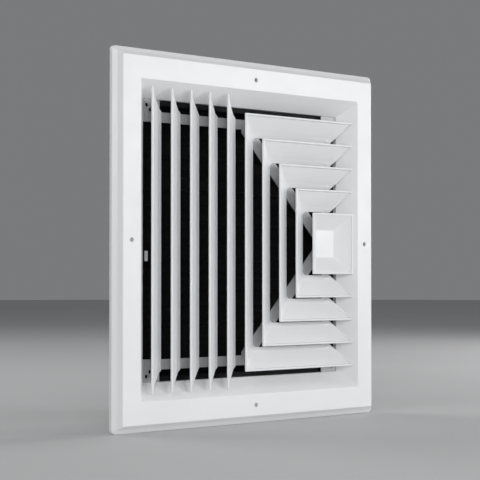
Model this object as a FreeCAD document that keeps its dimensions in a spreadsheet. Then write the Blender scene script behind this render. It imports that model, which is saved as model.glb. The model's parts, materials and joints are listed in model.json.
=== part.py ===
import FreeCAD, Part
import Sketcher
import math
import os

# Square ceiling air diffuser, three-way throw, with an opposed-blade damper behind the face.
# Frame of reference: X to the right of the face, Z up the face, Y back into the ceiling void.
# Y = 0 is the plane of the ceiling that the rim of the frame seats on.  Lengths in millimetres.

doc = FreeCAD.newDocument("ceiling_diffuser")
sheet = doc.addObject("Spreadsheet::Sheet", "dims")


class Dim:
    """A length that carries its value and the spreadsheet expression that gives it."""

    def __init__(self, value, text):
        self.value = value
        self.text = text

    @staticmethod
    def of(item):
        return item if isinstance(item, Dim) else Dim(float(item), f"{float(item):.6f}")

    def __add__(self, other):
        other = Dim.of(other)
        return Dim(self.value + other.value, f"({self.text} + {other.text})")

    def __sub__(self, other):
        other = Dim.of(other)
        return Dim(self.value - other.value, f"({self.text} - {other.text})")

    def __rsub__(self, other):
        return Dim.of(other) - self

    def __mul__(self, factor):
        factor = Dim.of(factor)
        return Dim(self.value * factor.value, f"({self.text} * {factor.text})")

    def __neg__(self):
        return Dim(-self.value, f"(0 - {self.text})")

    __radd__ = __add__
    __rmul__ = __mul__


def dim(alias, value):
    """Put one plain number in the spreadsheet under a word and return it as a Dim."""
    row = dim.next_row
    dim.next_row = row + 1
    sheet.set(f"A{row}", alias)
    sheet.set(f"B{row}", str(value))
    sheet.setAlias(f"B{row}", alias)
    return Dim(float(value), f"dims.{alias}")


dim.next_row = 1
TAN_FOLD = math.tan(math.radians(22.5))

# Frame rails
face_half = dim("face_half", 200)
neck_half = dim("neck_half", 149.5)
neck_back = dim("neck_back", 38)
face_depth = dim("face_depth", 12)
rim_foot = dim("rim_foot", 3)
rim_roll = dim("rim_roll", 3.5)
flat_inner = dim("flat_inner", 167.8)
frame_sheet = dim("frame_sheet", 1.4)
bevel_mid_depth = dim("bevel_mid_depth", 7.3)
bevel_mid_reach = dim("bevel_mid_reach", 195.3)
corner_radius = dim("corner_radius", 6)
screw_reach = dim("screw_reach", 179.6)
screw_hole = dim("screw_hole", 2.4)

# Blades: a rolled bead, a main web and a shallower lip that rests on the straps
bead_depth = dim("bead_depth", 8.4)
bead_radius = dim("bead_radius", 1.25)
blade_sheet = dim("blade_sheet", 1.2)
web_run = dim("web_run", 18.3)
web_rise = dim("web_rise", 11)
lip_run = dim("lip_run", 7.3)
strap_front = dim("strap_front", 6)
blade_reach = dim("blade_reach", 160.8)
knee_run = dim("knee_run", 13.2)
knee_reach = dim("knee_reach", 142.8)
tail_reach = dim("tail_reach", 136.6)
side_first = dim("side_first", 148.9)
side_pitch = dim("side_pitch", 27.3)
bend_first = dim("bend_first", 12.5)
bend_pitch = dim("bend_pitch", 26.8)
bend_sum = dim("bend_sum", 129)

# Centre pan
pan_middle = dim("pan_middle", 128.6)
pan_half_wide = dim("pan_half_wide", 32.9)
pan_half_tall = dim("pan_half_tall", 34.2)
dish_half_wide = dim("dish_half_wide", 14.8)
dish_half_tall = dim("dish_half_tall", 15.6)
pan_sheet = dim("pan_sheet", 0.8)

# Straps, corner plates and the stakes that hold the blades
strap_sheet = dim("strap_sheet", 1.4)
strap_inner = dim("strap_inner", 125.6)
strap_outer = dim("strap_outer", 136.4)
strap_reach = dim("strap_reach", 146)
brace_inner_half = dim("brace_inner_half", 8.25)
brace_outer_half = dim("brace_outer_half", 6.65)
brace_start = dim("brace_start", 4.5)
stake_radius = dim("stake_radius", 1.3)
stake_head = dim("stake_head", 2.4)
stake_rise = dim("stake_rise", 1)
plate_inner = dim("plate_inner", 125.2)
plate_hole = dim("plate_hole", 2.1)

# Damper
damper_half = dim("damper_half", 149)
damper_front = dim("damper_front", 10.5)
damper_back = dim("damper_back", 54.5)
damper_sheet = dim("damper_sheet", 1.2)
damper_flange = dim("damper_flange", 143.8)
spindle_depth = dim("spindle_depth", 32.5)
spindle_radius = dim("spindle_radius", 3)
spindle_half = dim("spindle_half", 148.8)
vane_pitch = dim("vane_pitch", 36.5)
vane_half_chord = dim("vane_half_chord", 18.8)
vane_sheet = dim("vane_sheet", 1)
vane_lap = dim("vane_lap", 3.3)
vane_joggle = dim("vane_joggle", 0.75)
vane_left = dim("vane_left", 139.6)
vane_right = dim("vane_right", 146.6)
bush_radius = dim("bush_radius", 4.5)
bush_flange = dim("bush_flange", 5.5)
gear_outer = dim("gear_outer", 146.8)
gear_width = dim("gear_width", 3)
lever_outer = dim("lever_outer", 143.4)
lever_tab = dim("lever_tab", 140.1)
lever_tip = dim("lever_tip", 9.1)
fixing_reach = dim("fixing_reach", 100)
fixing_depth = dim("fixing_depth", 16)
fixing_radius = dim("fixing_radius", 1.5)
doc.recompute()

SIDE_BLADES = 5
BENT_BLADES = 4
VANES = 8
BEYOND = 15
Y_AXIS = FreeCAD.Vector(0, 1, 0)
web_angle = math.atan2(web_rise.value, web_run.value)
lip_rise = strap_front + bead_depth - web_rise
lip_angle = math.atan2(lip_rise.value, lip_run.value)
blade_run = web_run + lip_run
foot_run = blade_sheet.value / math.sin(lip_angle)
stake_run = blade_run - foot_run / 2
strap_middle = (strap_inner + strap_outer) * 0.5
strap_back = strap_front + strap_sheet


# ---------------------------------------------------------------- sketch helpers

def new_body(label):
    body = doc.addObject("PartDesign::Body", label)
    body.Label = label
    return body


def new_sketch(body, role, height=None):
    """Sketch on one of the body's own planes, lifted along the plane's normal by height."""
    sketch = body.newObject("Sketcher::SketchObject", "outline")
    plane = next(item for item in body.Origin.OriginFeatures if item.Role == role)
    sketch.AttachmentSupport = [(plane, "")]
    sketch.MapMode = "FlatFace"
    if height is not None:
        sketch.setExpression(".AttachmentOffset.Base.z", Dim.of(height).text)
    return sketch


def pin(sketch, geometry, vertex, point):
    """Fix a vertex of the sketch at the two lengths in point."""
    for kind, item in zip(("DistanceX", "DistanceY"), point):
        length = Dim.of(item)
        index = sketch.addConstraint(Sketcher.Constraint(kind, -1, 1, geometry, vertex, length.value))
        sketch.setExpression(f"Constraints[{index}]", length.text)


def draw_outline(sketch, points, arcs=()):
    """Closed outline through the points.  arcs holds (start index, radius, centre) of the rounded sides."""
    places = [FreeCAD.Vector(Dim.of(u).value, Dim.of(v).value, 0) for u, v in points]
    rounded = {start: (radius, centre) for start, radius, centre in arcs}
    first = sketch.GeometryCount
    ends = []
    for index, start in enumerate(places):
        finish = places[(index + 1) % len(places)]
        if index not in rounded:
            sketch.addGeometry(Part.LineSegment(start, finish), False)
            ends.append((1, 2))
            continue
        radius, centre = rounded[index]
        middle = FreeCAD.Vector(Dim.of(centre[0]).value, Dim.of(centre[1]).value, 0)
        angles = [math.atan2(p.y - middle.y, p.x - middle.x) for p in (start, finish)]
        clockwise = (angles[1] - angles[0]) % (2 * math.pi) > math.pi
        if clockwise:
            angles.reverse()
        circle = Part.Circle(middle, FreeCAD.Vector(0, 0, 1), radius.value)
        arc = sketch.addGeometry(Part.ArcOfCircle(circle, angles[0], angles[1]), False)
        index_radius = sketch.addConstraint(Sketcher.Constraint("Radius", arc, radius.value))
        sketch.setExpression(f"Constraints[{index_radius}]", radius.text)
        ends.append((2, 1) if clockwise else (1, 2))
    for index, point in enumerate(points):
        before = (index - 1) % len(points)
        sketch.addConstraint(Sketcher.Constraint(
            "Coincident", first + before, ends[before][1], first + index, ends[index][0]))
        pin(sketch, first + index, ends[index][0], point)


def draw_circle(sketch, centre, radius):
    radius = Dim.of(radius)
    middle = FreeCAD.Vector(Dim.of(centre[0]).value, Dim.of(centre[1]).value, 0)
    circle = sketch.addGeometry(Part.Circle(middle, FreeCAD.Vector(0, 0, 1), radius.value), False)
    index = sketch.addConstraint(Sketcher.Constraint("Radius", circle, radius.value))
    sketch.setExpression(f"Constraints[{index}]", radius.text)
    pin(sketch, circle, 3, centre)


def box_outline(low_u, high_u, low_v, high_v):
    return [(low_u, low_v), (high_u, low_v), (high_u, high_v), (low_u, high_v)]


def pad(body, sketch, length, forward=True, symmetric=False):
    feature = body.newObject("PartDesign::Pad", "pad")
    feature.Profile = sketch
    length = Dim.of(length)
    feature.Length = length.value
    feature.setExpression("Length", length.text)
    feature.SideType = "Symmetric" if symmetric else "One side"
    feature.Reversed = not forward
    return feature


def cut_through(body, sketch):
    """Pocket right through the body, both ways from the sketch; it must take something away."""
    doc.recompute()
    before = body.Shape.Volume
    feature = body.newObject("PartDesign::Pocket", "cut")
    feature.Profile = sketch
    feature.Type = "ThroughAll"
    feature.SideType = "Symmetric"
    doc.recompute()
    if body.Shape.Volume >= before:
        raise RuntimeError(f"a cut in {body.Label} removed nothing")
    return feature


def turned(degrees, x=0.0, y=0.0, z=0.0):
    """Placement turned about the depth axis, then moved."""
    return FreeCAD.Placement(FreeCAD.Vector(x, y, z), FreeCAD.Rotation(Y_AXIS, degrees))


# ---------------------------------------------------------------- frame

def make_rail(label, degrees, carries_damper):
    """One mitred side of the frame: rim, flat face, sloping throat and neck collar in one bent sheet."""
    body = new_body(label)
    fold = frame_sheet * TAN_FOLD
    flat_outer = face_half - face_depth + rim_roll
    throat_back = flat_inner - neck_half - face_depth
    inner_roll = face_half - rim_foot - flat_outer + fold
    bevel_inset = frame_sheet * math.sqrt(0.5)
    section = [
        (0, face_half),
        (-rim_roll, face_half),
        (-bevel_mid_depth, bevel_mid_reach),
        (-face_depth, flat_outer),
        (-face_depth, flat_inner),
        (throat_back, neck_half),
        (neck_back, neck_half),
        (neck_back, neck_half + frame_sheet),
        (throat_back + fold, neck_half + frame_sheet),
        (frame_sheet - face_depth, flat_inner + fold),
        (frame_sheet - face_depth, flat_outer - fold),
        (bevel_inset - bevel_mid_depth, bevel_mid_reach - bevel_inset),
        (frame_sheet - face_depth + inner_roll, face_half - rim_foot),
        (0, face_half - rim_foot),
    ]
    profile = new_sketch(body, "YZ_Plane")
    draw_outline(profile, section)
    pad(body, profile, face_half * 2, symmetric=True)

    mitre = new_sketch(body, "XZ_Plane")
    arc_middle = face_half - corner_radius
    arc_point = arc_middle + corner_radius * math.sqrt(0.5)
    for side in (1, -1):
        waste = [
            (side * 60, 60),
            (arc_point * side, arc_point),
            (arc_middle * side, face_half),
            (arc_middle * side, face_half + BEYOND),
            ((face_half + BEYOND) * side, face_half + BEYOND),
            ((face_half + BEYOND) * side, 60),
        ]
        draw_outline(mitre, waste, [(1, corner_radius, (arc_middle * side, arc_middle))])
    cut_through(body, mitre)

    hole = new_sketch(body, "XZ_Plane")
    draw_circle(hole, (0, screw_reach), screw_hole)
    cut_through(body, hole)

    if carries_damper:
        fixings = new_sketch(body, "XY_Plane")
        for side in (1, -1):
            draw_circle(fixings, (fixing_reach * side, fixing_depth), fixing_radius)
        cut_through(body, fixings)
    body.Placement = turned(degrees)
    return body


def make_corner_plate(label, degrees, relief):
    """Square plate in a corner of the neck; relief clears the nearest stake head."""
    body = new_body(label)
    outline = new_sketch(body, "XZ_Plane", -strap_back)
    draw_outline(outline, box_outline(plate_inner, neck_half, plate_inner, neck_half))
    pad(body, outline, strap_sheet, forward=False)
    holes = new_sketch(body, "XZ_Plane")
    for inset in (6.3, 11.2):
        draw_circle(holes, (neck_half - inset, neck_half - inset), plate_hole)
    cut_through(body, holes)
    if relief is not None:
        notch = new_sketch(body, "XZ_Plane")
        draw_circle(notch, relief, stake_head + 0.4)
        cut_through(body, notch)
    body.Placement = turned(degrees)
    return body


# ---------------------------------------------------------------- blades

def blade_blank(label):
    """Endless blade: the bead at the origin of X, the web running toward +X and back."""
    body = new_body(label)
    web_side = (-blade_sheet.value * math.sin(web_angle), blade_sheet.value * math.cos(web_angle))
    bend = (web_angle + lip_angle) / 2
    bend_offset = blade_sheet.value / math.cos((web_angle - lip_angle) / 2)
    section = [
        (0, -bead_depth),
        (web_run, web_rise - bead_depth),
        (blade_run, strap_front),
        (blade_run - foot_run, strap_front),
        (web_run - bend_offset * math.sin(bend), web_rise - bead_depth + bend_offset * math.cos(bend)),
        (web_side[0], web_side[1] - bead_depth),
    ]
    web = new_sketch(body, "XY_Plane")
    draw_outline(web, section)
    pad(body, web, (blade_reach + BEYOND) * 2, symmetric=True)
    bead = new_sketch(body, "XY_Plane")
    draw_circle(bead, (0, -bead_depth), bead_radius)
    pad(body, bead, (blade_reach + BEYOND) * 2, symmetric=True)
    return body


def end_waste(side):
    """What is trimmed off a blade's end so that it follows the throat of the frame."""
    return [
        (-5, blade_reach * side),
        (0, blade_reach * side),
        (knee_run, knee_reach * side),
        (blade_run, tail_reach * side),
        (blade_run + 5, tail_reach * side),
        (blade_run + 5, (blade_reach + 2 * BEYOND) * side),
        (-5, (blade_reach + 2 * BEYOND) * side),
    ]


def mitre_waste(corner, slope, side):
    """What is trimmed beyond the 45 degree line that starts at corner on the bead."""
    far = (blade_reach + 2 * BEYOND) * side
    return [
        (-5, corner - 5 * slope),
        (blade_run + 5, corner + (blade_run + 5) * slope),
        (blade_run + 5, far),
        (-5, far),
    ]


def trim(body, outlines):
    waste = new_sketch(body, "XZ_Plane")
    for outline in outlines:
        draw_outline(waste, outline)
    cut_through(body, waste)


def bend_corner(index):
    """Where the bead of a bent blade turns: distance right of centre and distance from mid-height."""
    across = bend_pitch * index - bend_first
    return across, bend_sum - across


def make_side_blade(index):
    body = blade_blank(f"side_blade_{index + 1}")
    trim(body, [end_waste(1), end_waste(-1)])
    body.Placement = turned(0, x=side_bead(index).value)


def side_bead(index):
    return side_pitch * index - side_first


def make_bent_blade(index):
    """A blade bent round three sides: an upright leg and two level legs mitred to it."""
    across, height = bend_corner(index)
    upright = blade_blank(f"bent_blade_{index + 1}_upright")
    trim(upright, [mitre_waste(height, -1, 1), mitre_waste(-height, 1, -1)])
    upright.Placement = turned(0, x=across.value)
    upper = blade_blank(f"bent_blade_{index + 1}_upper")
    trim(upper, [end_waste(1), mitre_waste(across, 1, -1)])
    upper.Placement = turned(90, z=height.value)
    lower = blade_blank(f"bent_blade_{index + 1}_lower")
    trim(lower, [end_waste(-1), mitre_waste(-across, -1, 1)])
    lower.Placement = turned(-90, z=-height.value)


def make_pan():
    """Square dish at the middle of the bent blades with a rolled rim."""
    body = new_body("centre_pan")
    for kind, rim_change, floor_change, floor in (
        ("PartDesign::AdditiveLoft", 0, 0, strap_front),
        ("PartDesign::SubtractiveLoft", -1.1, -0.35, strap_front - pan_sheet),
    ):
        rim = new_sketch(body, "XZ_Plane", bead_depth)
        draw_outline(rim, box_outline(
            -pan_half_wide - rim_change, pan_half_wide + rim_change,
            -pan_half_tall - rim_change, pan_half_tall + rim_change))
        bottom = new_sketch(body, "XZ_Plane", -floor)
        draw_outline(bottom, box_outline(
            -dish_half_wide - floor_change, dish_half_wide + floor_change,
            -dish_half_tall - floor_change, dish_half_tall + floor_change))
        loft = body.newObject(kind, "dish")
        loft.Profile = rim
        loft.Sections = [bottom]
        loft.Ruled = True
        doc.recompute()
    path = new_sketch(body, "XZ_Plane", bead_depth)
    draw_outline(path, box_outline(-pan_half_wide, pan_half_wide, -pan_half_tall, pan_half_tall))
    bead = new_sketch(body, "YZ_Plane")
    draw_circle(bead, (-bead_depth, pan_half_tall), bead_radius)
    doc.recompute()
    roll = body.newObject("PartDesign::AdditivePipe", "roll")
    roll.Profile = bead
    roll.Spine = (path, [f"Edge{number}" for number in range(1, 5)])
    roll.Transition = "Right corner"
    doc.recompute()
    body.Placement = turned(0, x=pan_middle.value)


# ---------------------------------------------------------------- straps and stakes

def stake_places():
    """Centres of the stakes, listed for each strap."""
    along = {"top": [], "right": [], "brace": []}
    for index in range(SIDE_BLADES):
        along["top"].append((side_bead(index) + stake_run, strap_middle))
    for index in range(BENT_BLADES):
        across, height = bend_corner(index)
        along["right"].append((strap_middle, height - stake_run))
        along["right"].append((strap_middle, stake_run - height))
        along["brace"].append((across + stake_run + 5, height - stake_run))
        along["brace"].append((across + stake_run, height - stake_run - 5))
    along["right"].append((strap_middle, Dim.of(8)))
    along["right"].append((strap_middle, Dim.of(-8)))
    return along


def make_strap(label, outline, holes):
    body = new_body(label)
    plan = new_sketch(body, "XZ_Plane", -strap_front)
    draw_outline(plan, outline)
    pad(body, plan, strap_sheet, forward=False)
    punched = new_sketch(body, "XZ_Plane")
    for centre in holes:
        draw_circle(punched, centre, stake_radius)
    cut_through(body, punched)
    return body


def mirrored(points):
    return [(u, -Dim.of(v)) for u, v in points]


def brace_outline():
    near = bend_sum - brace_inner_half * math.sqrt(2)
    far = bend_sum + brace_outer_half * math.sqrt(2)
    return [
        (-brace_start, near + brace_start),
        (-brace_start, strap_inner),
        (far - strap_inner, strap_inner),
        (strap_inner, far - strap_inner),
        (strap_inner, 0),
        (near, 0),
    ]


def add_group(label, shapes):
    """Several separate solids of one kind kept as one object."""
    item = doc.addObject("Part::Feature", label)
    item.Label = label
    item.Shape = Part.makeCompound(shapes)
    item.Placement = FreeCAD.Placement()
    return item


def headed_pin(base, direction, radius, length, head_radius, head_height):
    """Shank from base along direction, then a domed head beyond it."""
    shank = Part.makeCylinder(radius, length, base, direction)
    head = Part.makeCylinder(head_radius, head_height, base + direction * length, direction)
    far_edge = max(head.Edges, key=lambda edge: edge.CenterOfMass.dot(direction))
    head = head.makeFillet(head_height * 0.45, [far_edge])
    return shank.fuse(head)


# ---------------------------------------------------------------- damper

def vane_height(index):
    return vane_pitch * (index - (VANES - 1) / 2)


def make_damper_side(label, degrees):
    """Upright channel of the damper frame with the row of spindle holes."""
    body = new_body(label)
    section = [
        (damper_half, damper_front),
        (damper_half, damper_back),
        (damper_flange, damper_back),
        (damper_flange, damper_back - damper_sheet),
        (damper_half - damper_sheet, damper_back - damper_sheet),
        (damper_half - damper_sheet, damper_front + damper_sheet),
        (damper_flange, damper_front + damper_sheet),
        (damper_flange, damper_front),
    ]
    profile = new_sketch(body, "XY_Plane")
    draw_outline(profile, section)
    pad(body, profile, (damper_half - damper_sheet) * 2, symmetric=True)
    holes = new_sketch(body, "YZ_Plane")
    for index in range(VANES):
        draw_circle(holes, (spindle_depth, vane_height(index)), bush_radius)
    cut_through(body, holes)
    body.Placement = turned(degrees)


def make_damper_rail(label, degrees):
    """Level channel of the damper frame, closed over the ends of the upright channels."""
    body = new_body(label)
    web_low = damper_half - damper_sheet
    section = [
        (damper_front, damper_half),
        (damper_front, damper_flange),
        (damper_front + damper_sheet, damper_flange),
        (damper_front + damper_sheet, web_low),
        (damper_back - damper_sheet, web_low),
        (damper_back - damper_sheet, damper_flange),
        (damper_back, damper_flange),
        (damper_back, damper_half),
    ]
    profile = new_sketch(body, "YZ_Plane")
    draw_outline(profile, section)
    pad(body, profile, damper_half * 2, symmetric=True)
    ends = new_sketch(body, "XZ_Plane")
    for side in (1, -1):
        draw_outline(ends, box_outline(
            damper_flange * side, (damper_half + BEYOND) * side, damper_flange - BEYOND, web_low))
    cut_through(body, ends)
    fixings = new_sketch(body, "XY_Plane")
    for side in (1, -1):
        draw_circle(fixings, (fixing_reach * side, fixing_depth), fixing_radius)
    cut_through(body, fixings)
    body.Placement = turned(degrees)


def make_vane(index):
    """Damper blade on a spindle, drawn shut; its joggled edges lap over the blades above and below."""
    body = new_body(f"damper_blade_{index + 1}")
    half = vane_sheet * 0.5
    root = Dim.of(4)
    bend = vane_half_chord - vane_lap
    front = [
        (vane_joggle - half, -vane_half_chord),
        (vane_joggle - half, -bend),
        (-half, -bend + 2),
        (-vane_sheet, -root),
        (-vane_sheet, root),
        (-half, bend - 2),
        (-vane_joggle - half, bend),
        (-vane_joggle - half, vane_half_chord),
    ]
    back = [(-u, -v) for u, v in front]
    plan = new_sketch(body, "YZ_Plane", -vane_left)
    draw_outline(plan, front + back)
    pad(body, plan, vane_left + vane_right)
    rod = new_sketch(body, "YZ_Plane")
    draw_circle(rod, (0, 0), spindle_radius)
    pad(body, rod, spindle_half * 2, symmetric=True)
    body.Placement = FreeCAD.Placement(
        FreeCAD.Vector(0, spindle_depth.value, vane_height(index).value), FreeCAD.Rotation())


def gear_outline(teeth, pitch_radius, tip_radius, root_radius, backlash, turn):
    """Wire of an involute gear in the YZ plane; turn is the angle of the first tooth from +Z."""
    pressure = math.radians(20)
    base_radius = pitch_radius * math.cos(pressure)
    half_tooth = math.pi / (2 * teeth) - backlash / (2 * pitch_radius) + math.tan(pressure) - pressure

    def flank_angle(radius):
        slope = math.acos(base_radius / radius)
        return half_tooth - (math.tan(slope) - slope)

    def place(radius, angle):
        return FreeCAD.Vector(0, radius * math.sin(angle), radius * math.cos(angle))

    radii = [base_radius + (tip_radius - base_radius) * step / 5 for step in range(6)]
    pitch_angle = 2 * math.pi / teeth
    edges = []
    for tooth in range(teeth):
        middle = turn + tooth * pitch_angle
        rising = [place(radius, middle - flank_angle(radius)) for radius in radii]
        falling = [place(radius, middle + flank_angle(radius)) for radius in reversed(radii)]
        foot = flank_angle(base_radius)
        low_start = place(root_radius, middle - foot)
        low_end = place(root_radius, middle + foot)
        next_start = place(root_radius, middle + pitch_angle - foot)
        rise = Part.BSplineCurve()
        rise.interpolate(rising)
        fall = Part.BSplineCurve()
        fall.interpolate(falling)
        edges.append(Part.LineSegment(low_start, rising[0]).toShape())
        edges.append(rise.toShape())
        edges.append(Part.Arc(rising[-1], place(tip_radius, middle), falling[0]).toShape())
        edges.append(fall.toShape())
        edges.append(Part.LineSegment(falling[-1], low_end).toShape())
        valley = place(root_radius, middle + pitch_angle / 2)
        edges.append(Part.Arc(low_end, valley, next_start).toShape())
    return Part.Wire(edges)


def make_gear(index):
    """Gear on the left end of a spindle; alternate gears start half a tooth round so they mesh."""
    teeth = 20
    pitch_radius = vane_pitch.value / 2
    turn = (index % 2) * math.pi / teeth
    outline = gear_outline(teeth, pitch_radius, pitch_radius + 1.5, pitch_radius - 2.0, 0.36, turn)
    blank = Part.Face(outline).extrude(FreeCAD.Vector(gear_width.value, 0, 0))
    bore = Part.makeCylinder(spindle_radius.value, gear_width.value, FreeCAD.Vector(), FreeCAD.Vector(1, 0, 0))
    item = doc.addObject("Part::Feature", f"damper_gear_{index + 1}")
    item.Label = f"damper_gear_{index + 1}"
    item.Shape = blank.cut(bore)
    item.Placement = FreeCAD.Placement(
        FreeCAD.Vector(-gear_outer.value, spindle_depth.value, vane_height(index).value), FreeCAD.Rotation())


def make_lever(index):
    """Setting lever: a ring on the spindle, an arm toward the face and a folded tab at its tip."""
    body = new_body("damper_lever")
    reach = spindle_depth - lever_tip
    arm_low = -3.6
    arm_high = 7.4
    plate = new_sketch(body, "YZ_Plane", -lever_outer)
    draw_outline(plate, box_outline(-reach, 0, arm_low, arm_high))
    pad(body, plate, damper_sheet)
    ring = new_sketch(body, "YZ_Plane", -lever_outer)
    draw_circle(ring, (0, 0), 7.4)
    pad(body, ring, damper_sheet)
    tab = new_sketch(body, "YZ_Plane", -lever_outer)
    draw_outline(tab, box_outline(-reach, damper_sheet - reach, arm_low, arm_high))
    pad(body, tab, lever_outer - lever_tab)
    bore = new_sketch(body, "YZ_Plane")
    draw_circle(bore, (0, 0), spindle_radius)
    cut_through(body, bore)
    body.Placement = FreeCAD.Placement(
        FreeCAD.Vector(0, spindle_depth.value, vane_height(index).value), FreeCAD.Rotation())


def bush(side, height):
    """Flanged sleeve that carries one end of a spindle in the damper's side channel."""
    direction = FreeCAD.Vector(side, 0, 0)
    inner = (damper_half - damper_sheet).value
    centre = FreeCAD.Vector(inner * side, spindle_depth.value, height)
    sleeve = Part.makeCylinder(bush_radius.value, damper_sheet.value, centre, direction)
    collar = Part.makeCylinder(bush_flange.value, 0.6, centre - direction * 0.6, direction)
    bore = Part.makeCylinder(spindle_radius.value + 0.05, 4, centre - direction * 2, direction)
    return sleeve.fuse(collar).cut(bore)


# ---------------------------------------------------------------- assembly

make_rail("frame_top", 0, True)
make_rail("frame_right", 90, False)
make_rail("frame_bottom", 180, True)
make_rail("frame_left", -90, False)

first_stake = -(side_bead(0) + stake_run)
make_corner_plate("corner_plate_top_right", 0, None)
make_corner_plate("corner_plate_bottom_right", 90, None)
make_corner_plate("corner_plate_bottom_left", 180, (first_stake, strap_middle))
make_corner_plate("corner_plate_top_left", -90, (strap_middle, first_stake))

for number in range(SIDE_BLADES):
    make_side_blade(number)
for number in range(BENT_BLADES):
    make_bent_blade(number)
make_pan()

stakes = stake_places()
level_strap = box_outline(-strap_reach, strap_reach, strap_inner, strap_outer)
upright_strap = box_outline(strap_inner, strap_outer, -strap_inner, strap_inner)
make_strap("strap_top", level_strap, stakes["top"])
make_strap("strap_bottom", mirrored(level_strap), mirrored(stakes["top"]))
make_strap("strap_right", upright_strap, stakes["right"])
make_strap("brace_upper", brace_outline(), stakes["brace"])
make_strap("brace_lower", mirrored(brace_outline()), mirrored(stakes["brace"]))

every_stake = stakes["top"] + mirrored(stakes["top"]) + stakes["right"]
every_stake = every_stake + stakes["brace"] + mirrored(stakes["brace"])
add_group("blade_stakes", [
    headed_pin(FreeCAD.Vector(u.value, strap_front.value, v.value), Y_AXIS,
               stake_radius.value, strap_sheet.value, stake_head.value, stake_rise.value)
    for u, v in every_stake])

make_damper_side("damper_side_right", 0)
make_damper_side("damper_side_left", 180)
make_damper_rail("damper_rail_top", 0)
make_damper_rail("damper_rail_bottom", 180)
for number in range(VANES):
    make_vane(number)
    make_gear(number)
make_lever(VANES // 2 - 1)
add_group("damper_bushes", [
    bush(side, vane_height(number).value) for number in range(VANES) for side in (1, -1)])

fixing_inner = damper_half.value - 4
fixing_grip = neck_half.value + frame_sheet.value - fixing_inner
add_group("damper_screws", [
    headed_pin(FreeCAD.Vector(fixing_reach.value * side, fixing_depth.value, fixing_inner * way),
               FreeCAD.Vector(0, 0, way), fixing_radius.value, fixing_grip, 3.0, 1.8)
    for side in (1, -1) for way in (1, -1)])

doc.recompute()

for item in doc.Objects:
    if "Invalid" in item.State or "Error" in item.State:
        raise RuntimeError(f"{item.Label} did not compute: {item.State}")

nodes = [item for item in doc.Objects
         if item.TypeId == "PartDesign::Body" or item.TypeId == "Part::Feature"]
for node in nodes:
    if node.Shape.isNull() or not node.Shape.isValid():
        raise RuntimeError(f"{node.Label} has no valid shape")

os.makedirs("parts", exist_ok=True)
for node in nodes:
    node.Shape.exportStep(f"parts/{node.Label}.step")
print(len(nodes), "parts written")
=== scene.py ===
import bmesh
import bpy
import json
import math
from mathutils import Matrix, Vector


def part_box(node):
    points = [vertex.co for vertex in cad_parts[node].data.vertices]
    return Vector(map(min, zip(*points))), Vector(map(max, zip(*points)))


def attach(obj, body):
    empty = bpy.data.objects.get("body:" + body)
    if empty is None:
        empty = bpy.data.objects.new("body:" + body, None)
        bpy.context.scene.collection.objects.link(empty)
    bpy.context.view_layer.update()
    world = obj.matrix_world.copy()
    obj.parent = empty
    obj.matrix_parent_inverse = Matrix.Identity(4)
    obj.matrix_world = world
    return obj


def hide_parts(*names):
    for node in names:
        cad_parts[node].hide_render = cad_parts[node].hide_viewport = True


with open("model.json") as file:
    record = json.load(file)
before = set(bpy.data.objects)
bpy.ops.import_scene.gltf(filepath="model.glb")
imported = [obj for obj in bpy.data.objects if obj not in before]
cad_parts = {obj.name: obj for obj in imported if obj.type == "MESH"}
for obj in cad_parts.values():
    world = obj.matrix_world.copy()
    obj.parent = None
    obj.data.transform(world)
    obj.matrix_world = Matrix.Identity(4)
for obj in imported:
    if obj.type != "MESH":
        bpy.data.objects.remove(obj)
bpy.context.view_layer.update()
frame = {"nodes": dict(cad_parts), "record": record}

# ------------------------------------------------------------------ sizes, in millimetres

MM = 0.001                                  # metres in one millimetre

# Face frame: reaches are from the middle of the face, depths are along +Y into the ceiling
FACE_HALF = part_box("frame_top")[1][2] / MM
NECK_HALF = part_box("frame_top")[0][2] / MM
NECK_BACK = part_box("frame_top")[1][1] / MM
FACE_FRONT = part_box("frame_top")[0][1] / MM
FLAT_OUTER = 191.5                          # flat border, outer edge
FLAT_INNER = 167.8                          # flat border, inner edge
SHEET = 1.4
RIM_FOOT = 3.0                              # width of the rim's back edge
RIM_SIDE = -3.5                             # depth where the rim turns into the bevel, outside
RIM_SIDE_BACK = -3.2                        # the same, on the back of the sheet
BEVEL_MIDDLE = (195.3, -7.3)                # crown of the bevel as (reach, depth), outside
BEVEL_MIDDLE_BACK = (194.3, -6.3)           # the same, on the back of the sheet
RIM_TURN = 198.5                            # reach where the rim's corner starts to widen
SCREW_REACH = 179.6                         # middle of the face to a screw hole
SCREW_RADIUS = 2.4
SCREW_LIP = 0.5                             # rolled edge of a screw hole
FRAME_CORNER_STEPS = 8                      # facets in a quarter turn

# Blades: "run" is the distance from the bead's centre line towards the lip, across the blade
BEAD_DEPTH = 8.4                            # bead centre in front of the ceiling plane
BEAD_RADIUS = 1.25
BEAD_BLEND = 1.2                            # hollow between bead and web
BEAD_STEPS = 28
BLEND_STEPS = 8
BLEND_OVERLAP = math.radians(4)             # bead starts this far past the hollow's end
BLADE_SHEET = 1.2
WEB = (18.3, 11.0)                          # (run, depth) of the web, bead centre to crease
RUN = 25.6                                  # run at the edge of the lip
CREASE_RADIUS = 4.0
LIP_EDGE_RADIUS = 0.2
LIP_FACE_RADIUS = 0.35
BLADE_END = ((-2.0, 160.8), (0.0, 160.8), (13.2, 142.8), (25.6, 136.6))   # (run, half length)
BEND_RADII = ((-2.0, 1.2), (2.0, 1.2), (18.3, 4.0), (25.6, 6.0))          # (run, corner radius)
BEND_STEPS = 8
BLADE_BEVEL = 0.22
TUCK = 0.01                                 # keeps a bent blade just inside its CAD box

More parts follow.
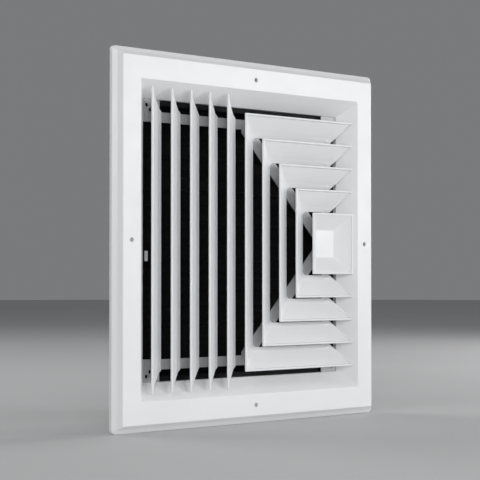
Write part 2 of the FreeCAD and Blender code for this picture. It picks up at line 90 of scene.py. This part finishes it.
# Straps, and the low swells on the lips where they cross one
STRAP_FRONT = 6.0
STRAP_MIDDLE = 131.0                        # middle of the face to the strap's centre line
SWELL_HALF = (4.4, 2.4)                     # half length and half width
SWELL_RISE = 0.5
SWELL_RUN = 21.6
SWELL_DEPTH = 4.14
SWELL_SHARES = (1.12, 1.0, 0.8, 0.6, 0.4, 0.2, 0.05)                      # of the half sizes
SWELL_POINTS = 24
SWELL_ROOT = 0.25                           # how deep the swell's foot is set into the lip
SWELL_SINK = 0.02

# Centre pan
PAN_FLOOR = (14.8, 15.6)                    # half width and half height of the flat floor
PAN_SHEET = 0.8
PAN_FLOOR_RADIUS = 2.2
PAN_BACK_RADIUS = 2.6
PAN_BEND = 0.35                             # floor edge to the bend, on the front
PAN_NOTCH = 0.3                             # groove between wall and bead
PAN_NOTCH_RADIUS = 0.4
PAN_LAP = 0.25                              # how far the wall's back stands behind the bead's centre
PAN_INSET = -6.0                            # start of the outline, in from the floor's edge
PAN_CORNER = 2.2                            # corner radius at the floor
PAN_CORNER_FALL = 1.0                       # how much smaller it is at the rim
PAN_CORNER_LEAST = 0.5
PAN_CORNER_STEPS = 6

# Damper vanes
SPINDLE_DEPTH = 32.5
SPINDLE_RADIUS = 3.0
SPINDLE_HALF = 148.8
SPINDLE_CHAMFER = 0.4
SPINDLE_POINTS = 32
SPINDLE_SOCKET = 2                          # how far a spindle runs into the vane
VANE_COUNT = 8
VANE_PITCH = 36.5
VANE_ENDS = (-139.6, 146.6)
VANE_SKIN = 1.0                             # half the thickness beside the boss
VANE_BEVEL = 0.2

# Stage, light and camera, in metres, degrees and watts
FLOOR_RADIUS = 9.0
LIGHT_DISTANCE = 2.6
CAMERA_PLACE = (-1.2557, -1.2851, -0.0366)
CAMERA_YAW = 44.024
CAMERA_PITCH = 1.247
CAMERA_LENS = 121.3                         # millimetres, on a 36 mm wide sensor
SENSOR_WIDTH = 36.0
CAMERA_REACH = 50.0
SKY_COLOUR = (0.97, 0.985, 1.0, 1)
SKY_STRENGTH = 0.2

# Shading
SHARP_ANGLE = math.radians(32)
NORMAL_WEIGHT = 80


# ------------------------------------------------------------------ mesh helpers

def fillet(points, radii, step=math.radians(7.5)):
    """Closed outline with its corners rounded; a radius of 0 keeps a corner sharp."""
    rounded = []
    count = len(points)
    for index, radius in enumerate(radii):
        here = Vector(points[index])
        to_last = (Vector(points[index - 1]) - here).normalized()
        to_next = (Vector(points[(index + 1) % count]) - here).normalized()
        half = to_last.angle(to_next) / 2
        turn = math.pi - 2 * half
        if radius <= 0 or turn < 0.01:
            rounded.append(tuple(here))
            continue
        centre = here + (to_last + to_next).normalized() * (radius / math.sin(half))
        start = here + to_last * (radius / math.tan(half)) - centre
        finish = here + to_next * (radius / math.tan(half)) - centre
        steps = max(2, math.ceil(turn / step))
        sense = 1 if start.x * finish.y - start.y * finish.x > 0 else -1
        first = math.atan2(start.y, start.x)
        for number in range(steps + 1):
            angle = first + sense * turn * number / steps
            rounded.append((centre.x + radius * math.cos(angle), centre.y + radius * math.sin(angle)))
    return rounded


def ramp(table, value):
    """Straight-line reading of a table of (value, result) pairs."""
    for (low, start), (high, finish) in zip(table, table[1:]):
        if value <= high:
            return start + (finish - start) * max(0.0, value - low) / (high - low)
    return table[-1][1]


def circle_point(centre, radius, angle):
    """Point on a circle in a section."""
    return Vector(centre) + Vector((math.cos(angle), math.sin(angle))) * radius


def corner_signs(quarter):
    """Signs of x and z in each quarter, counted from top right against the clock."""
    sign_x = 1 if quarter in (0, 3) else -1
    sign_z = 1 if quarter in (0, 1) else -1
    return sign_x, sign_z


def add_rows(data, rings):
    """One row of vertices for each ring of points in millimetres."""
    return [[data.verts.new(Vector(point) * MM) for point in ring] for ring in rings]


def join_rows(data, rows, closed_rows=True):
    """Quads between each row of vertices and the next."""
    size = len(rows[0])
    for here, after in zip(rows, rows[1:]):
        for step in range(size if closed_rows else size - 1):
            follow = (step + 1) % size
            data.faces.new((here[step], here[follow], after[follow], after[step]))


def cap_rows(data, rows):
    """Flat faces over the first and the last row."""
    data.faces.new(rows[0])
    data.faces.new(rows[-1])


def skin(rings, closed_path=False):
    """Surface over equal rings of points in millimetres, capped at both ends unless the path closes."""
    data = bmesh.new()
    weight = data.edges.layers.float.new("bevel_weight_edge")
    rows = add_rows(data, rings)
    join_rows(data, rows + rows[:1] if closed_path else rows)
    if not closed_path:
        for row in (rows[0], rows[-1]):
            cap = data.faces.new(row)
            for edge in cap.edges:
                edge[weight] = 1.0
            bmesh.ops.triangulate(data, faces=[cap], ngon_method="EAR_CLIP")
    return data


def even_normals(piece, keep_sharp=True):
    """Weighted normals, so that broad flat faces stay flat beside small rounds."""
    even = piece.modifiers.new("even", "WEIGHTED_NORMAL")
    even.keep_sharp = keep_sharp
    even.weight = NORMAL_WEIGHT


def finish_piece(name, mesh_data, body, material, nodes, bevel=0.0):
    """Turn a bmesh into a piece that rides on a body and stands for its CAD nodes."""
    bmesh.ops.recalc_face_normals(mesh_data, faces=mesh_data.faces)
    mesh = bpy.data.meshes.new(name)
    mesh_data.to_mesh(mesh)
    mesh_data.free()
    mesh.shade_smooth()
    mesh.materials.append(material)
    piece = bpy.data.objects.new(name, mesh)
    bpy.context.scene.collection.objects.link(piece)
    if bevel:
        soften = piece.modifiers.new("soften", "BEVEL")
        soften.width = bevel * MM
        soften.segments = 2
        soften.limit_method = "WEIGHT"
    mesh.set_sharp_from_angle(angle=SHARP_ANGLE)
    even_normals(piece)
    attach(piece, body)
    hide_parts(*nodes)
    return piece


# ------------------------------------------------------------------ materials

class Nodes:
    """Short hand for building a node material."""

    def __init__(self, name):
        self.material = bpy.data.materials.new(name)
        self.material.use_nodes = True
        self.tree = self.material.node_tree
        self.shader = self.tree.nodes["Principled BSDF"]
        self.place = self.tree.nodes.new("ShaderNodeTexCoord").outputs["Object"]

    def link(self, start, finish):
        """Join an output to an input."""
        self.tree.links.new(start, finish)

    def noise(self, scale, detail=2.0, stretch=None):
        """Noise in the object's own metres; a stretch below 1 draws it out along that axis."""
        node = self.tree.nodes.new("ShaderNodeTexNoise")
        node.inputs["Scale"].default_value = scale
        node.inputs["Detail"].default_value = detail
        node.inputs["Roughness"].default_value = 0.5
        source = self.place
        if stretch:
            mapping = self.tree.nodes.new("ShaderNodeMapping")
            mapping.inputs["Scale"].default_value = stretch
            self.link(self.place, mapping.inputs["Vector"])
            source = mapping.outputs["Vector"]
        self.link(source, node.inputs["Vector"])
        return node.outputs["Fac"]

    def spread(self, source, low, high):
        """The middle of the noise's range, spread from low to high."""
        node = self.tree.nodes.new("ShaderNodeMapRange")
        node.inputs["From Min"].default_value = 0.3
        node.inputs["From Max"].default_value = 0.7
        node.inputs["To Min"].default_value = low
        node.inputs["To Max"].default_value = high
        self.link(source, node.inputs["Value"])
        return node.outputs["Result"]

    def tint(self, source, first, second):
        """Mix of two colours."""
        node = self.tree.nodes.new("ShaderNodeMix")
        node.data_type = "RGBA"
        node.inputs["A"].default_value = (*first, 1)
        node.inputs["B"].default_value = (*second, 1)
        self.link(source, node.inputs["Factor"])
        return node.outputs["Result"]

    def bump(self, source, distance, strength, after=None):
        """Fine relief, added on top of an earlier one if given."""
        node = self.tree.nodes.new("ShaderNodeBump")
        node.inputs["Distance"].default_value = distance
        node.inputs["Strength"].default_value = strength
        self.link(source, node.inputs["Height"])
        if after is not None:
            self.link(after, node.inputs["Normal"])
        return node.outputs["Normal"]


def enamel_material():
    """White baked enamel on steel: nearly even colour, soft gloss and a faint orange-peel skin."""
    make = Nodes("white_enamel")
    shade = make.spread(make.noise(9.0, 3.0), 0.0, 1.0)
    colour = make.tint(shade, (0.800, 0.812, 0.822), (0.826, 0.834, 0.842))
    make.link(colour, make.shader.inputs["Base Color"])
    make.link(make.spread(make.noise(60.0, 3.0), 0.33, 0.43), make.shader.inputs["Roughness"])
    peel = make.bump(make.noise(700.0, 1.0), 0.00002, 0.35)
    wave = make.bump(make.noise(45.0, 1.0), 0.00012, 0.25, after=peel)
    make.link(wave, make.shader.inputs["Normal"])
    make.shader.inputs["IOR"].default_value = 1.5
    return make.material


def black_metal_and_shade_material():
    """Matt black coating over drawn aluminium, with faint lines along the draw; the black is set darker than
    a real coating, as painted shade for the deep gaps behind the face blades.
    """
    make = Nodes("black_aluminium")
    streak = make.spread(make.noise(260.0, 2.0, stretch=(0.03, 1.0, 1.0)), 0.0, 1.0)
    # Base colour: the coating's own black, pushed darker than real paint so the vanes behind the blades carry
    # painted shade
    colour = make.tint(streak, (0.0070, 0.0070, 0.0073), (0.0105, 0.0105, 0.0108))
    make.link(colour, make.shader.inputs["Base Color"])
    make.link(make.spread(make.noise(120.0, 3.0), 0.52, 0.66), make.shader.inputs["Roughness"])
    grain = make.bump(make.noise(1500.0, 2.0), 0.00002, 0.5)
    make.link(make.bump(streak, 0.00003, 0.4, after=grain), make.shader.inputs["Normal"])
    make.shader.inputs["Specular IOR Level"].default_value = 0.09
    return make.material


def nylon_material():
    """Black moulded nylon: a faint clouding and a fine moulded grain."""
    make = Nodes("black_nylon")
    cloud = make.spread(make.noise(80.0, 3.0), 0.0, 1.0)
    colour = make.tint(cloud, (0.012, 0.012, 0.0125), (0.018, 0.018, 0.019))
    make.link(colour, make.shader.inputs["Base Color"])
    make.link(make.spread(make.noise(300.0, 2.0), 0.38, 0.5), make.shader.inputs["Roughness"])
    make.link(make.bump(make.noise(2200.0, 1.0), 0.00001, 0.5), make.shader.inputs["Normal"])
    return make.material


def zinc_material():
    """Galvanised sheet: dull grey zinc with a faint spangle and fine lines from rolling."""
    make = Nodes("zinc_steel")
    spangle = make.spread(make.noise(160.0, 3.0), 0.0, 1.0)
    colour = make.tint(spangle, (0.40, 0.41, 0.42), (0.45, 0.46, 0.47))
    make.link(colour, make.shader.inputs["Base Color"])
    make.link(make.spread(make.noise(420.0, 2.0), 0.44, 0.56), make.shader.inputs["Roughness"])
    grain = make.bump(make.noise(1800.0, 1.0), 0.00001, 0.4)
    rolled = make.noise(500.0, 2.0, stretch=(0.04, 1.0, 1.0))
    make.link(make.bump(rolled, 0.00002, 0.4, after=grain), make.shader.inputs["Normal"])
    make.shader.inputs["Metallic"].default_value = 0.25
    return make.material


def floor_material():
    """Plain pale grey floor paint."""
    make = Nodes("floor_paint")
    shade = make.spread(make.noise(1.2, 2.0), 0, 1)
    colour = make.tint(shade, (0.55, 0.55, 0.555), (0.58, 0.58, 0.585))
    make.link(colour, make.shader.inputs["Base Color"])
    make.link(make.spread(make.noise(6.0, 2.0), 0.7, 0.8), make.shader.inputs["Roughness"])
    return make.material


enamel = enamel_material()
black_metal_and_shade = black_metal_and_shade_material()
nylon = nylon_material()
zinc = zinc_material()
by_slot = {
    "white_enamel": enamel,
    "black_aluminium": black_metal_and_shade,
    "black_nylon": nylon,
    "zinc_steel": zinc,
}
slot_of = {entry["node"]: entry["material_slot"] for entry in frame["record"]["subparts"]}
for node_name, node_object in frame["nodes"].items():
    for material_slot in node_object.material_slots:
        material_slot.material = by_slot[slot_of[node_name]]


# ------------------------------------------------------------------ face frame

def frame_outline():
    """Section of the frame as (reach, depth), round the front and back along the sheet."""
    throat_back = FLAT_INNER - NECK_HALF + FACE_FRONT
    fold = SHEET * math.tan(math.radians(22.5))
    section = [
        ((FACE_HALF, 0.0), 0.3),
        ((FACE_HALF, RIM_SIDE), 1.5),
        (BEVEL_MIDDLE, 5.0),
        ((FLAT_OUTER, FACE_FRONT), 1.3),
        ((FLAT_INNER, FACE_FRONT), 1.0),
        ((NECK_HALF, throat_back), 0.8),
        ((NECK_HALF, NECK_BACK), 0.3),
        ((NECK_HALF + SHEET, NECK_BACK), 0.3),
        ((NECK_HALF + SHEET, throat_back + fold), 2.0),
        ((FLAT_INNER + fold, FACE_FRONT + SHEET), 0.4),
        ((FLAT_OUTER - fold, FACE_FRONT + SHEET), 0.4),
        (BEVEL_MIDDLE_BACK, 5.0),
        ((FACE_HALF - RIM_FOOT, RIM_SIDE_BACK), 0.6),
        ((FACE_HALF - RIM_FOOT, 0.0), 0.3),
    ]
    return fillet([point for point, radius in section], [radius for point, radius in section])


def make_frame():
    """Pressed frame swept round the square: rim, bevel, flat border, sloping throat and neck collar."""
    corner_radii = (
        (NECK_HALF, 1.4),
        (FLAT_INNER, 1.3),
        (FLAT_OUTER, 0.9),
        (BEVEL_MIDDLE[0], 1.7),
        (RIM_TURN, 3.4),
        (FACE_HALF, 5.0),
    )
    outline = frame_outline()
    rings = []
    for quarter in range(4):
        sign_x, sign_z = corner_signs(quarter)
        for step in range(FRAME_CORNER_STEPS + 1):
            angle = math.radians(90 * (quarter + step / FRAME_CORNER_STEPS))
            ring = []
            for reach, depth in outline:
                radius = ramp(corner_radii, reach)
                centre = reach - radius
                across = sign_x * centre + radius * math.cos(angle)
                up = sign_z * centre + radius * math.sin(angle)
                ring.append((across, depth, up))
            rings.append(ring)
    data = skin(rings, closed_path=True)
    sides = ["frame_top", "frame_bottom", "frame_left", "frame_right"]
    return finish_piece("face_frame", data, "diffuser", enamel, sides)


def apply_modifiers(piece):
    """Replace a piece's mesh by the mesh its modifiers make."""
    depsgraph = bpy.context.evaluated_depsgraph_get()
    done = bpy.data.meshes.new_from_object(piece.evaluated_get(depsgraph))
    piece.modifiers.clear()
    piece.data = done


def punch(piece, places, radius, front, back, lip):
    """Cut round holes through a sheet along Y, each with a slightly rolled front edge."""
    data = bmesh.new()
    segments = 40
    levels = [
        (front - 2, radius + lip + 1.2),
        (front - 0.02, radius + lip),
        (front + lip * 0.4, radius + lip * 0.35),
        (front + lip, radius),
        (back + 2, radius),
    ]
    turns = [math.tau * k / segments for k in range(segments)]
    for x, z in places:
        rings = [[(x + reach * math.cos(turn), depth, z + reach * math.sin(turn)) for turn in turns]
                 for depth, reach in levels]
        rows = add_rows(data, rings)
        join_rows(data, rows)
        cap_rows(data, rows)
    bmesh.ops.recalc_face_normals(data, faces=data.faces)
    mesh = bpy.data.meshes.new("punch")
    data.to_mesh(mesh)
    data.free()
    cutter = bpy.data.objects.new("punch", mesh)
    bpy.context.scene.collection.objects.link(cutter)
    cut = piece.modifiers.new("punch", "BOOLEAN")
    cut.operation = "DIFFERENCE"
    cut.solver = "EXACT"
    cut.object = cutter
    piece.modifiers.remove(piece.modifiers["even"])
    apply_modifiers(piece)
    piece.data.set_sharp_from_angle(angle=SHARP_ANGLE)
    even_normals(piece)
    bpy.data.objects.remove(cutter)


face = make_frame()
screw_places = [(SCREW_REACH, 0), (-SCREW_REACH, 0), (0, SCREW_REACH), (0, -SCREW_REACH)]
punch(face, screw_places, SCREW_RADIUS, FACE_FRONT, FACE_FRONT + SHEET, SCREW_LIP)


# ------------------------------------------------------------------ blades

def blade_outline():
    """Section of a blade as (run from the bead, depth): rolled bead, web, soft crease and lip."""
    slope = math.atan2(WEB[1], WEB[0])
    along = Vector((math.cos(slope), math.sin(slope)))
    behind = Vector((-math.sin(slope), math.cos(slope)))
    centre = Vector((0.0, -BEAD_DEPTH))
    crease = Vector((WEB[0], WEB[1] - BEAD_DEPTH))
    tail = Vector((RUN, STRAP_FRONT))
    lip_slope = math.atan2(tail.y - crease.y, tail.x - crease.x)
    middle = (slope + lip_slope) / 2
    reach = BLADE_SHEET / math.cos((slope - lip_slope) / 2)
    back_crease = crease + Vector((-math.sin(middle), math.cos(middle))) * reach
    foot = tail - Vector((BLADE_SHEET / math.sin(lip_slope), 0))
    knee = BLADE_END[2][0]

    def on_line(start, finish, x):
        return start + (finish - start) * (x - start.x) / (finish.x - start.x)

    # Where the web's back meets the bead
    meet = along * math.sqrt(BEAD_RADIUS ** 2 - BLADE_SHEET ** 2) + behind * BLADE_SHEET

    # Hollow that touches both the web's front and the bead
    swing = math.asin(BEAD_BLEND / (BEAD_RADIUS + BEAD_BLEND))
    groove = centre + along * math.sqrt(BEAD_RADIUS ** 2 + 2 * BEAD_RADIUS * BEAD_BLEND) - behind * BEAD_BLEND
    blend = []
    for step in range(BLEND_STEPS + 1):
        angle = slope + math.pi / 2 + (math.pi / 2 - swing) * step / BLEND_STEPS
        blend.append(circle_point(groove, BEAD_BLEND, angle))

    first = slope - swing - BLEND_OVERLAP
    last = math.atan2(meet.y, meet.x) - math.tau
    bead = []
    for step in range(BEAD_STEPS + 1):
        bead.append(circle_point(centre, BEAD_RADIUS, first + (last - first) * step / BEAD_STEPS))

    # The extra point at the knee gives the blade's end its bend there
    back = [on_line(centre + meet, back_crease, knee), back_crease, foot]
    back_radii = [0.0, CREASE_RADIUS, LIP_EDGE_RADIUS]
    front = [tail, crease, on_line(centre, crease, knee)]
    front_radii = [LIP_FACE_RADIUS, CREASE_RADIUS, 0.0]
    shape = [tuple(point) for point in bead + back + front + blend]
    radii = [0.0] * len(bead) + back_radii + front_radii + [0.0] * len(blend)
    return fillet(shape, radii)


BLADE = blade_outline()


def blade_end(run):
    """Half length of a straight blade at a run."""
    return ramp(BLADE_END, run)


def add_swell(data, place, run_way):
    """Low oval swell on the lip's front, where the blade is staked to a strap behind it."""
    slope = math.atan2(STRAP_FRONT + BEAD_DEPTH - WEB[1], RUN - WEB[0])
    run_way = Vector(run_way)
    across = run_way * math.cos(slope) + Vector((0, math.sin(slope), 0))
    front = run_way * math.sin(slope) - Vector((0, math.cos(slope), 0))
    along = across.cross(front)
    rings = []
    for share in SWELL_SHARES:
        sink = SWELL_ROOT if share > 1 else SWELL_SINK
        lift = SWELL_RISE * (1 - min(share, 1.0) ** 2) ** 2 - sink
        ring = []
        for k in range(SWELL_POINTS):
            angle = math.tau * k / SWELL_POINTS
            point = Vector(place) + front * lift
            point += along * (SWELL_HALF[0] * share * math.cos(angle))
            point += across * (SWELL_HALF[1] * share * math.sin(angle))
            ring.append(point)
        rings.append(ring)
    rows = add_rows(data, rings)
    join_rows(data, rows)
    cap_rows(data, rows)


def make_side_blade(number):
    """Straight blade that throws left."""
    name = f"side_blade_{number}"
    low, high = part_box(name)
    bead_x = low[0] / MM + BEAD_RADIUS
    rings = []
    for side in (-1, 1):
        rings.append([(bead_x + run, depth, side * blade_end(run)) for run, depth in BLADE])
    data = skin(rings)
    for side in (-1, 1):
        add_swell(data, (bead_x + SWELL_RUN, SWELL_DEPTH, side * STRAP_MIDDLE), (1, 0, 0))
    return finish_piece(f"{name}_skin", data, "diffuser", enamel, [name], bevel=BLADE_BEVEL)


def make_bent_blade(number):
    """Blade bent round three sides; its two corners are tight at the bead and wider at the lip."""
    nodes = [f"bent_blade_{number}_{part}" for part in ("upright", "upper", "lower")]
    low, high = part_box(nodes[0])
    corner_x = low[0] / MM + BEAD_RADIUS
    height = high[2] / MM - BEAD_RADIUS - TUCK
    rings = [[(blade_end(run), depth, height - run) for run, depth in BLADE]]
    turns = [math.radians(90 * step / BEND_STEPS) for step in range(BEND_STEPS + 1)]
    for side, angles in ((1, turns[::-1]), (-1, turns)):
        for angle in angles:
            ring = []
            for run, depth in BLADE:
                radius = ramp(BEND_RADII, run)
                across = corner_x + run + radius * (1 - math.cos(angle))
                up = height - run - radius * (1 - math.sin(angle))
                ring.append((across, depth, side * up))
            rings.append(ring)
    rings.append([(blade_end(run), depth, run - height) for run, depth in BLADE])
    data = skin(rings)
    for side in (-1, 1):
        add_swell(data, (STRAP_MIDDLE, SWELL_DEPTH, side * (height - SWELL_RUN)), (0, 0, -side))
    name = f"bent_blade_{number}_skin"
    return finish_piece(name, data, "diffuser", enamel, nodes, bevel=BLADE_BEVEL)


for number in range(1, 6):
    make_side_blade(number)
for number in range(1, 5):
    make_bent_blade(number)


# ------------------------------------------------------------------ centre pan

def pan_outline(run):
    """Open section of the pan as (distance out from the floor's edge, depth), front first."""
    slope = math.atan2(STRAP_FRONT + BEAD_DEPTH, run)
    slant = Vector((-math.cos(slope), math.sin(slope)))
    normal = Vector((-math.sin(slope), -math.cos(slope)))
    top = Vector((run, -BEAD_DEPTH))
    front_top = top + slant * (BEAD_RADIUS + PAN_NOTCH) + normal * (PAN_SHEET - PAN_LAP)
    floor_front = STRAP_FRONT - PAN_SHEET
    points = [(PAN_INSET, floor_front), (PAN_BEND, floor_front), tuple(front_top)]
    radii = [0.0, PAN_FLOOR_RADIUS, PAN_NOTCH_RADIUS]
    first = math.atan2(front_top.y - top.y, front_top.x - top.x)
    last = math.tau + math.pi - slope - math.asin(PAN_LAP / BEAD_RADIUS)
    for step in range(BEAD_STEPS + 1):
        point = circle_point(top, BEAD_RADIUS, first + (last - first) * step / BEAD_STEPS)
        points.append(tuple(point))
        radii.append(0.0)
    points += [(0.0, STRAP_FRONT), (PAN_INSET, STRAP_FRONT)]
    radii += [PAN_BACK_RADIUS, 0.0]
    return fillet(points, radii)


def make_pan():
    """Square dish: flat floor, four sloping walls and a rolled rim."""
    low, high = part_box("centre_pan")
    middle_x = (low[0] + high[0]) / 2 / MM
    rim_x = (high[0] - low[0]) / 2 / MM - BEAD_RADIUS
    rim_z = (high[2] - low[2]) / 2 / MM - BEAD_RADIUS
    run = rim_x - PAN_FLOOR[0]
    outline = pan_outline(run)
    rings = []
    for quarter in range(4):
        sign_x, sign_z = corner_signs(quarter)
        for step in range(PAN_CORNER_STEPS + 1):
            angle = math.radians(90 * (quarter + step / PAN_CORNER_STEPS))
            ring = []
            for out, depth in outline:
                share = out / run
                radius = max(PAN_CORNER_LEAST, PAN_CORNER - PAN_CORNER_FALL * max(0.0, share))
                reach_x = PAN_FLOOR[0] + ((rim_x - PAN_FLOOR[0]) * share if out > 0 else out)
                reach_z = PAN_FLOOR[1] + ((rim_z - PAN_FLOOR[1]) * share if out > 0 else out)
                across = middle_x + sign_x * (reach_x - radius) + radius * math.cos(angle)
                up = sign_z * (reach_z - radius) + radius * math.sin(angle)
                ring.append((across, depth, up))
            rings.append(ring)
    data = bmesh.new()
    rows = add_rows(data, rings)
    join_rows(data, rows + rows[:1], closed_rows=False)
    data.faces.new([row[0] for row in rows])
    data.faces.new([row[-1] for row in rows])
    return finish_piece("centre_pan_skin", data, "diffuser", enamel, ["centre_pan"])


make_pan()


# ------------------------------------------------------------------ straps, plates and damper frame

def soften_copy(node, material, body="diffuser", width=0.25):
    """Copy of a plain CAD part with flat faces merged and every edge broken by a small round."""
    source = frame["nodes"][node]
    data = bmesh.new()
    data.from_mesh(source.data)
    data.transform(source.matrix_world)
    bmesh.ops.remove_doubles(data, verts=data.verts, dist=1e-6)
    bmesh.ops.dissolve_limit(data, angle_limit=math.radians(1), verts=data.verts, edges=data.edges)
    bmesh.ops.recalc_face_normals(data, faces=data.faces)
    mesh = bpy.data.meshes.new(f"{node}_skin")
    data.to_mesh(mesh)
    data.free()
    mesh.materials.clear()
    mesh.materials.append(material)
    mesh.shade_smooth()
    piece = bpy.data.objects.new(f"{node}_skin", mesh)
    bpy.context.scene.collection.objects.link(piece)
    soften = piece.modifiers.new("soften", "BEVEL")
    soften.width = width * MM
    soften.segments = 2
    soften.limit_method = "ANGLE"
    soften.angle_limit = math.radians(35)
    even_normals(piece, keep_sharp=False)
    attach(piece, body)
    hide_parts(node)
    return piece


zinc_sheets = (
    "strap_top",
    "strap_bottom",
    "strap_right",
    "brace_upper",
    "brace_lower",
    "corner_plate_top_right",
    "corner_plate_bottom_right",
    "corner_plate_bottom_left",
    "corner_plate_top_left",
)
for node in zinc_sheets:
    soften_copy(node, zinc)
for node in ("damper_side_right", "damper_side_left", "damper_rail_top", "damper_rail_bottom"):
    soften_copy(node, black_metal_and_shade, width=0.35)


# ------------------------------------------------------------------ damper vanes

def vane_outline():
    """Section of a vane as (depth, height): lapped edges, tapered wings and a round spindle boss."""
    lapped_edge = [(0.25, -18.8, 0.2), (0.25, -15.5, 1.5)]
    wing = [(-0.5, -13.5, 1.5), (-VANE_SKIN, -4.0, 3.0)]
    boss = []
    limit = math.acos(VANE_SKIN / SPINDLE_RADIUS)
    for step in range(13):
        angle = limit * (step / 6 - 1)
        radius = 0.5 if step in (0, 12) else 0.0
        boss.append((-SPINDLE_RADIUS * math.cos(angle), SPINDLE_RADIUS * math.sin(angle), radius))
    far_wing = [(-VANE_SKIN, 4.0, 3.0), (-0.5, 13.5, 1.5)]
    far_edge = [(-1.25, 15.5, 1.5), (-1.25, 18.8, 0.2)]
    half = lapped_edge + wing + boss + far_wing + far_edge
    whole = half + [(-depth, -height, radius) for depth, height, radius in half]
    return fillet([(depth, height) for depth, height, radius in whole],
                  [radius for depth, height, radius in whole])


def rod_rings(start, finish, radius, chamfer):
    """Rings of a round bar along X with broken edges."""
    stations = [
        (start, radius - chamfer),
        (start + chamfer, radius),
        (finish - chamfer, radius),
        (finish, radius - chamfer),
    ]
    turns = [math.tau * k / SPINDLE_POINTS for k in range(SPINDLE_POINTS)]
    return [[(x, SPINDLE_DEPTH + reach * math.cos(turn), reach * math.sin(turn)) for turn in turns]
            for x, reach in stations]


def make_vane(number):
    """Damper vane with the two spindle ends that stand out of it."""
    height = VANE_PITCH * (number - (VANE_COUNT + 1) / 2)
    outline = vane_outline()
    rings = [[(x, SPINDLE_DEPTH + depth, rise) for depth, rise in outline] for x in VANE_ENDS]
    data = skin(rings)
    left_end = (-SPINDLE_HALF, VANE_ENDS[0] + SPINDLE_SOCKET)
    right_end = (VANE_ENDS[1] - SPINDLE_SOCKET, SPINDLE_HALF)
    for start, finish in (left_end, right_end):
        rows = add_rows(data, rod_rings(start, finish, SPINDLE_RADIUS, SPINDLE_CHAMFER))
        join_rows(data, rows)
        cap_rows(data, rows)
    bmesh.ops.translate(data, verts=data.verts, vec=(0, 0, height * MM))
    name = f"damper_blade_{number}"
    finish_piece(f"{name}_skin", data, f"vane_{number}", black_metal_and_shade, [name],
                 bevel=VANE_BEVEL)


for number in range(1, VANE_COUNT + 1):
    make_vane(number)
    soften_copy(f"damper_gear_{number}", nylon, body=f"vane_{number}", width=0.15)
soften_copy("damper_lever", enamel, body="vane_4", width=0.2)
soften_copy("damper_bushes", nylon, width=0.12)
soften_copy("damper_screws", zinc, width=0.15)
soften_copy("blade_stakes", zinc, width=0.25)


# ------------------------------------------------------------------ stage, light and camera

def make_floor():
    """Round floor under the frame's lower edge."""
    data = bmesh.new()
    bmesh.ops.create_circle(data, cap_ends=True, radius=FLOOR_RADIUS, segments=96)
    mesh = bpy.data.meshes.new("floor")
    data.to_mesh(mesh)
    data.free()
    floor = bpy.data.objects.new("floor", mesh)
    floor.location = (0, 0, -FACE_HALF * MM)
    bpy.context.scene.collection.objects.link(floor)
    mesh.materials.append(floor_material())


def make_light(name, azimuth, elevation, width, height, watts):
    """Soft box aimed at the object; azimuth 0 is straight in front, +90 to its right."""
    data = bpy.data.lights.new(name, "AREA")
    data.shape = "RECTANGLE"
    data.size = width
    data.size_y = height
    data.energy = watts
    turn = math.radians(azimuth)
    lift = math.radians(elevation)
    level = math.cos(lift)
    place = Vector((math.sin(turn) * level, -math.cos(turn) * level, math.sin(lift)))
    light = bpy.data.objects.new(name, data)
    light.location = place * LIGHT_DISTANCE
    light.rotation_euler = (-place).to_track_quat("-Z", "Y").to_euler()
    bpy.context.scene.collection.objects.link(light)


def make_sky():
    """Even, faintly cool light from all round."""
    world = bpy.data.worlds.new("studio")
    world.use_nodes = True
    background = world.node_tree.nodes["Background"]
    background.inputs["Color"].default_value = SKY_COLOUR
    background.inputs["Strength"].default_value = SKY_STRENGTH
    bpy.context.scene.world = world


def make_camera():
    """Camera at the photo's angle, looking from the left of the face."""
    data = bpy.data.cameras.new("camera")
    data.sensor_width = SENSOR_WIDTH
    data.lens = CAMERA_LENS
    data.clip_end = CAMERA_REACH
    camera = bpy.data.objects.new("camera", data)
    yaw = math.radians(CAMERA_YAW)
    pitch = math.radians(CAMERA_PITCH)
    level = math.cos(pitch)
    aim = Vector((math.sin(yaw) * level, math.cos(yaw) * level, math.sin(pitch)))
    camera.location = CAMERA_PLACE
    camera.rotation_euler = aim.to_track_quat("-Z", "Y").to_euler()
    bpy.context.scene.collection.objects.link(camera)
    bpy.context.scene.camera = camera


make_floor()
make_light("front_low_strip", azimuth=0, elevation=-1.5, width=1.8, height=0.25, watts=14)
make_light("left_front_soft", azimuth=-42, elevation=14, width=0.9, height=0.9, watts=17)
make_light("right_front_soft", azimuth=43, elevation=8, width=0.9, height=0.9, watts=19)
make_light("right_soft", azimuth=88, elevation=15, width=0.9, height=0.9, watts=29)
make_light("left_high", azimuth=-80, elevation=45, width=0.9, height=0.9, watts=5)
make_light("back_soft", azimuth=200, elevation=38, width=1.6, height=1.6, watts=20)
make_sky()
bpy.context.scene.view_settings.view_transform = "Standard"
make_camera()
